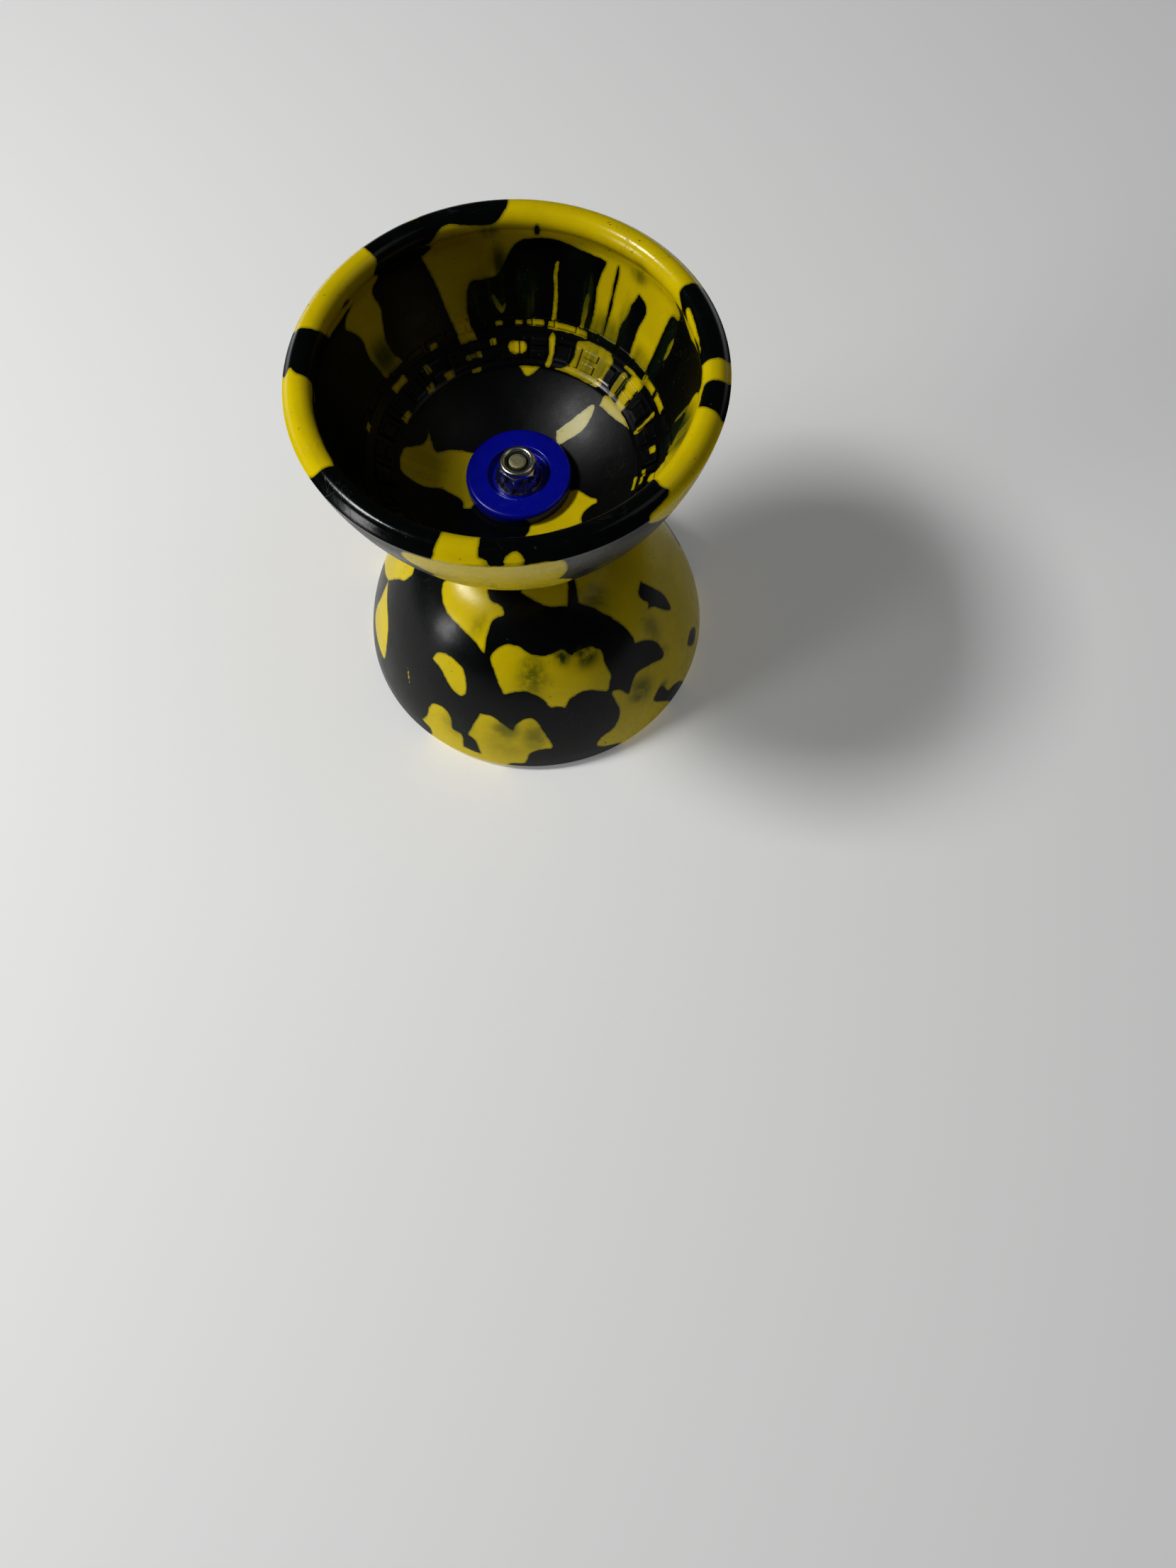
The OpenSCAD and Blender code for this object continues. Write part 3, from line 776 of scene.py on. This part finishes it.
def soften(piece, width, segments=2, angle=40, smooth=50):
    """Rounds the sharp edges of a piece with a bevel modifier, applied."""
    select_only(piece)
    rounding = piece.modifiers.new("rounding", "BEVEL")
    rounding.width, rounding.segments = width * MM, segments
    rounding.limit_method, rounding.angle_limit = "ANGLE", math.radians(angle)
    bpy.ops.object.modifier_apply(modifier="rounding")
    bpy.ops.object.shade_smooth_by_angle(angle=math.radians(smooth))


def join(pieces):
    """Makes one mesh of several pieces; the first keeps its name."""
    select_only(pieces[0])
    for piece in pieces[1:]:
        piece.select_set(True)
    bpy.ops.object.join()


def copies_round(piece, count):
    """Copies a piece round the axle inside its own mesh."""
    select_only(piece)
    edit_all()
    bpy.ops.mesh.spin(steps=count - 1, dupli=True, angle=math.tau * (count - 1) / count,
                      center=(0, 0, 0), axis=(0, 0, 1))
    bpy.ops.object.mode_set(mode="OBJECT")


# %% Model one group of the band and one dash
BAND_LOW, BAND_HIGH, RISE = 42.2, 47.9, 0.55
group = [
    moulded_pad("frame", BAND_LOW, BAND_HIGH, 0.6, 8.4, RISE, 1.25),
    moulded_pad("bar", BAND_LOW, BAND_HIGH, 11, 2.2, RISE),
    moulded_pad("low_pad", 45.6, BAND_HIGH, 14.8, 6.6, RISE),
    moulded_pad("high_pad", BAND_LOW, 44.3, 14.8, 6.6, RISE),
]
dash = moulded_pad("dash", 36.2, 38.6, 0.6, 7.8, 0.3)
for pad in group + [dash]:
    soften(pad, 0.14)
join(group)
GROUPS, DASHES = 15, 40
copies_round(group[0], GROUPS)
copies_round(dash, DASHES)
print("groups and dashes round the band:", GROUPS, DASHES)

# %% Join them into the lower cup's band and copy it for the upper cup
join([group[0], dash])
lower_band = group[0]
lower_band.name = lower_band.data.name = "lower_cup_band"
upper_band = turned_over(lower_band, "upper_cup_band")
for band, upper in ((upper_band, True), (lower_band, False)):
    store_marbling(band, upper)
    band.data.materials.append(rubber)
    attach(band, "root")
print("band faces:", len(lower_band.data.polygons))

# %% [markdown]
# ## The blue cup washer
# A thick moulded washer spreads the nut's grip over the rubber floor. Its outer
# edge is well rounded and the nut sits in a recess with a soft lip. The lathe
# gives it all; the levels come from the CAD node's own box.

# %% Turn the cup washers
def level(name):
    """A lower node's two heights in mm, nearest the rim first, and its radius."""
    low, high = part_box(name)
    return low.z / MM, high.z / MM, high.x / MM


top, base, out = level("lower_cup_washer")
RECESS_R, RECESS, BORE = 9.0, 2.1, 3.2
washer_section = [(BORE, base)] + corner(out - 0.35, base - 0.35, 0.35, 90, 0, 3)
washer_section += corner(out - 1.3, top + 1.3, 1.3, 0, -90, 10)
washer_section += corner(RECESS_R + 0.6, top + 0.6, 0.6, -90, -180, 6)
washer_section += corner(RECESS_R - 0.3, top + RECESS - 0.3, 0.3, 0, 90, 4)
washer_section += [(BORE, top + RECESS)]
lower_washer = turn("lower_blue_washer", washer_section, steps=160)
upper_washer = turned_over(lower_washer, "upper_blue_washer")

# %% [markdown]
# ## The lock nut
# It is a plated flange nut with a nylon ring held in a rolled collar. Two bodies
# make it: a turned body with the bore, the sloping skirt and the thick round
# collar, and a six sided prism, cut by a turned cone so that its corners end in
# arcs. Cutting flats by hand would leave uneven corners, so booleans do both
# jobs, and a small bevel catches the light.


# %% Join shapes with a boolean
def combine(piece, tool, how):
    """Joins a tool to a piece or keeps what they share, and removes the tool."""
    select_only(piece)
    joint = piece.modifiers.new("joint", "BOOLEAN")
    joint.operation, joint.object, joint.solver = how, tool, "EXACT"
    bpy.ops.object.modifier_apply(modifier="joint")
    bpy.data.objects.remove(tool)


# %% Turn the nut's body and cut its hexagon
top, base, out = level("lower_lock_nut")
NUT_BORE, LIP_R, COLLAR_R, HEX_R, ROLL = 3.05, 3.75, 5.2, 5.76, 0.8
WAIST_R, HEX_TURN = 4.85, 12
nut_body = [(NUT_BORE, base)] + corner(out - 0.2, base - 0.25, 0.2, 80, 0, 3)
nut_body += corner(out - 0.25, base - 0.75, 0.25, 0, -70, 3)
nut_body += [(6.55, base - 1.5), (5.75, base - 3.2), (5.1, base - 4.7), (WAIST_R, base - 5.1)]
nut_body += [(WAIST_R, top + 2.15), (5.05, top + 1.75), (COLLAR_R, top + 1.35)]
nut_body += corner(COLLAR_R - ROLL, top + ROLL, ROLL, 0, -175, 12)
nut_body += [(LIP_R, top + 1.0), (LIP_R + 0.3, top + 1.2), (LIP_R + 0.3, top + 2.2)]
nut_body += [(NUT_BORE, top + 2.3)]
lower_nut = turn("lower_flange_nut", nut_body, steps=96)
bpy.ops.object.select_all(action="DESELECT")
prism_low, prism_high = top + 2.0, base - 0.8
bpy.ops.mesh.primitive_cylinder_add(vertices=6, radius=HEX_R * MM,
                                    depth=(prism_high - prism_low) * MM,
                                    location=(0, 0, (prism_low + prism_high) / 2 * MM),
                                    rotation=(0, 0, math.radians(HEX_TURN)))
hexagon = bpy.context.object
bpy.ops.object.transform_apply(location=True, rotation=True, scale=True)
arcs = turn("arcs", [(NUT_BORE, prism_low - 0.1), (4.9, prism_low - 0.1), (6, prism_low + 0.75),
                     (6, prism_high + 0.1), (NUT_BORE, prism_high + 0.1)], 96)
combine(hexagon, arcs, "INTERSECT")
combine(lower_nut, hexagon, "UNION")
soften(lower_nut, 0.1, 2, 30, 30)
upper_nut = turned_over(lower_nut, "upper_flange_nut")
print("nut faces:", len(lower_nut.data.polygons))

# %% [markdown]
# ## The nylon ring
# It sits under the collar's lip and grips the thread, which has pushed its inner
# edge up into a soft swelling. Seen from the mouth it is a dark green ring. It
# could be part of the nut, but as a piece of its own it can be dark and matt.

# %% Turn the nylon rings
top, base, _ = level("lower_nut_insert")
RING_BORE, RING_R = 3.02, 3.95
ring_section = [(RING_BORE, base), (RING_R, base), (RING_R, top + 0.75)]
ring_section += [(3.8, top + 0.5), (3.5, top + 0.32), (3.25, top + 0.3), (3.1, top + 0.42)]
ring_section += [(RING_BORE, top + 0.7)]
lower_nylon = turn("lower_nylon_ring", ring_section, steps=96, smooth=60)
upper_nylon = turned_over(lower_nylon, "upper_nylon_ring")

# %% [markdown]
# ## The threaded rod
# A rod with a 1 mm thread holds everything together. The core is turned with
# chamfered ends. The thread is a small triangle wound up the core by a Screw
# modifier, which is exact and needs no hand placing. Its two ends are closed.

# %% Turn the core and wind the thread
rod_low, rod_high = (v.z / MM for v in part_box("threaded_rod"))
CORE_R, CREST_R, PITCH, WINDS = 2.62, 3.0, 1.0, 50
ROOT, CREST = CORE_R - 0.1, CREST_R - 0.04
core_section = [(0.0, rod_low + 0.05), (1.2, rod_low + 0.03), (2.25, rod_low)]
core_section += [(2.42, rod_low + 0.06), (CORE_R, rod_low + 0.4)]
core_section += [(r, HEIGHT - z) for r, z in core_section[::-1]]
rod = turn("axle_rod", core_section, steps=72, smooth=40)
edit_all()
bpy.ops.mesh.delete_loose(use_verts=True, use_edges=True)
bpy.ops.object.mode_set(mode="OBJECT")
START_Z = rod_low + 0.75
thread = start_line("thread", (ROOT, START_Z))
draw_line([(ROOT, START_Z), (CREST, START_Z + 0.45), (CREST, START_Z + 0.55),
           (ROOT, START_Z + 0.95), (ROOT, START_Z)])
bpy.ops.mesh.select_all(action="SELECT")
bpy.ops.mesh.remove_doubles(threshold=0.003 * MM)
bpy.ops.object.mode_set(mode="OBJECT")
winding = thread.modifiers.new("winding", "SCREW")
winding.axis, winding.iterations, winding.screw_offset = "Z", WINDS, PITCH * MM
winding.steps = winding.render_steps = 36
winding.use_smooth_shade = False
bpy.ops.object.modifier_apply(modifier="winding")
edit_all()
bpy.ops.mesh.fill_holes(sides=6)
face_outwards()
bpy.ops.object.mode_set(mode="OBJECT")
bpy.ops.object.shade_smooth_by_angle(angle=math.radians(40))
join([rod, thread])
print("rod faces:", len(rod.data.polygons))

# %% [markdown]
# ## The axle sleeve and the seat washers
# The sleeve is the spool the string runs on: a turned piece with a flat groove
# and sloping flanks. A thin washer at each end seats it against the cup's neck.
# Tool marks run round the groove. They could be modelled, but they are finer
# than the mesh, so they are left to the material.

# %% Turn the sleeve and the seat washers
low, high = (v.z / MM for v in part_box("axle_sleeve"))
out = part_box("axle_sleeve")[1].x / MM
middle, GROOVE_R, GROOVE_HALF, EDGE = (low + high) / 2, 6.0, 3.0, 1.2
flank = math.degrees(math.atan2(high - EDGE - middle - GROOVE_HALF, out - GROOVE_R))
sleeve_section = [(BORE, low)] + corner(out - 0.3, low + 0.3, 0.3, -90, 0, 4)
sleeve_section += corner(out - 0.3, low + EDGE - 0.2, 0.3, 0, 90 - flank, 4)
sleeve_section += [(GROOVE_R + 0.5, middle - GROOVE_HALF - 0.45), (GROOVE_R + 0.1, middle - 2.8)]
sleeve_section += [(GROOVE_R, middle - 2.3), (GROOVE_R, middle)]
sleeve_section += [(r, 2 * middle - z) for r, z in sleeve_section[-2::-1]]
sleeve = turn("turned_sleeve", sleeve_section, steps=128)
top, base, out = level("lower_seat_washer")
seat_section = [(BORE, top)] + corner(out - 0.25, top + 0.25, 0.25, -90, 0, 3)
seat_section += corner(out - 0.25, base - 0.25, 0.25, 0, 90, 3) + [(BORE, base)]
lower_seat = turn("lower_seat_ring", seat_section, steps=96)
upper_seat = turned_over(lower_seat, "upper_seat_ring")

# %% [markdown]
# ## The blue plastic, the plating, the nylon and the steel
# Blue plastic is glossy with hairlines and faint moulding ripples. The plating
# has gone brown on the nut's skirt and stays bright on the flange's edge and the
# collar. The rod's end is worn and dull, with file marks. The nylon is dark and
# matt. Each gets its own mix, because one grey metal for all would look like a
# toy. The metals differ only in a few values, so one function mixes them.

# %% Mix the blue plastic
blue, tree, shader, place = start_finish("blue_plastic")
shader.inputs["Specular IOR Level"].default_value = 0.4
cloud = ramp(tree, grain(tree, place, 70, 3), 0.3, 0.7)
colour = blend(tree, cloud, (0.0003, 0.0035, 0.33, 1), (0.0006, 0.006, 0.40, 1))
rubbed = ramp(tree, grain(tree, place, 120, 4), 0.50, 0.64)
lines = hairlines(tree, place, 60, (1, 9, 2), (0.1, 0.2, 0.9), 0.004)
lines = sums(tree, "MAXIMUM", lines, hairlines(tree, place, 70, (8, 1, 2), (0.3, 0, 0.4), 0.004))
lines = times(tree, lines, rubbed)
colour = blend(tree, times(tree, lines, 0.4), colour, (0.02, 0.04, 0.4, 1))
gloss = ramp(tree, grain(tree, place, 260, 4), 0.3, 0.7, 0.22, 0.36)
gloss = sums(tree, "ADD", gloss, times(tree, lines, 0.2))
skin = sums(tree, "SUBTRACT", grain(tree, place, 500, 3), times(tree, lines, 0.5))
dress(tree, shader, colour, gloss, skin, 0.25, 0.0001)


# %% Mix the metals
STAIN_FROM, STAIN_FULL = 19.2, 19.5
DIRT = (0.02, 0.013, 0.008, 1)


def metal(name, bright, stained, stain_at, gloss_range, marks, clean_from):
    """A metal stained in patches from STAIN_FROM to clean_from mm from mid height."""
    finish, tree, shader, place = start_finish(name, 0.3, 1.0)
    patches = grain(tree, place, 420, 5, 0.65)
    share = ramp(tree, patches, stain_at - 0.08, stain_at + 0.1)
    height = node(tree, "SeparateXYZ", {0: place}).outputs["Z"]
    off_middle = sums(tree, "ABSOLUTE", sums(tree, "SUBTRACT", height, HEIGHT / 2 * MM), 0)
    skirt = ramp(tree, off_middle, (clean_from - 0.6) * MM, clean_from * MM, 1, 0)
    edge_band = ramp(tree, off_middle, STAIN_FROM * MM, STAIN_FULL * MM)
    share = times(tree, share, times(tree, skirt, edge_band))
    colour = blend(tree, share, bright, stained)
    grime = ramp(tree, grain(tree, place, 900, 4, 0.7), 0.58, 0.7)
    colour = blend(tree, times(tree, grime, 0.6), colour, DIRT)
    rough = ramp(tree, share, 0, 1, *gloss_range)
    rough = sums(tree, "ADD", rough, times(tree, grime, 0.2))
    cuts = grain(tree, place, 700, 2, 0.5, marks, (0, 0, 0.6))
    relief = sums(tree, "SUBTRACT", cuts, times(tree, share, 0.5))
    dress(tree, shader, colour, rough, relief, 0.4, 0.00008)
    return finish


plating = metal("nut_plating", (0.80, 0.81, 0.80, 1), (0.11, 0.075, 0.05, 1), 0.50, (0.24, 0.34),
                (1, 1, 0.3), 24.4)
worn_end = metal("worn_rod", (0.62, 0.60, 0.44, 1), (0.38, 0.36, 0.22, 1), 0.5, (0.38, 0.6),
                 (1, 14, 1), 30)
turned_steel = metal("turned_steel", (0.60, 0.60, 0.59, 1), (0.34, 0.33, 0.31, 1), 0.6,
                     (0.2, 0.38), (0.05, 0.05, 9), 30)

# %% Mix the dark nylon
nylon, tree, shader, place = start_finish("dark_nylon")
cloud = ramp(tree, grain(tree, place, 500, 4), 0.35, 0.65)
colour = blend(tree, cloud, (0.004, 0.012, 0.010, 1), (0.010, 0.028, 0.022, 1))
gloss = ramp(tree, cloud, 0, 1, 0.32, 0.5)
dress(tree, shader, colour, gloss, grain(tree, place, 2600, 3), 0.4, 0.00006)

# %% Give every piece its finish and its place
for piece, cad, finish, slot in (
        (upper_washer, "upper_cup_washer", blue, "blue_plastic"),
        (lower_washer, "lower_cup_washer", blue, "blue_plastic"),
        (upper_nut, "upper_lock_nut", plating, "nut_plating"),
        (lower_nut, "lower_lock_nut", plating, "nut_plating"),
        (upper_nylon, "upper_nut_insert", nylon, "nylon"),
        (lower_nylon, "lower_nut_insert", nylon, "nylon"),
        (rod, "threaded_rod", worn_end, "rod_steel"),
        (sleeve, "axle_sleeve", turned_steel, "turned_steel"),
        (upper_seat, "upper_seat_washer", turned_steel, "washer_steel"),
        (lower_seat, "lower_seat_washer", turned_steel, "washer_steel")):
    piece.data.materials.append(finish)
    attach(piece, "root")
    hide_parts(cad)
for name in ("upper_hub_bush", "lower_hub_bush"):
    bpy.data.objects[name].data.materials.clear()
    bpy.data.objects[name].data.materials.append(nylon)
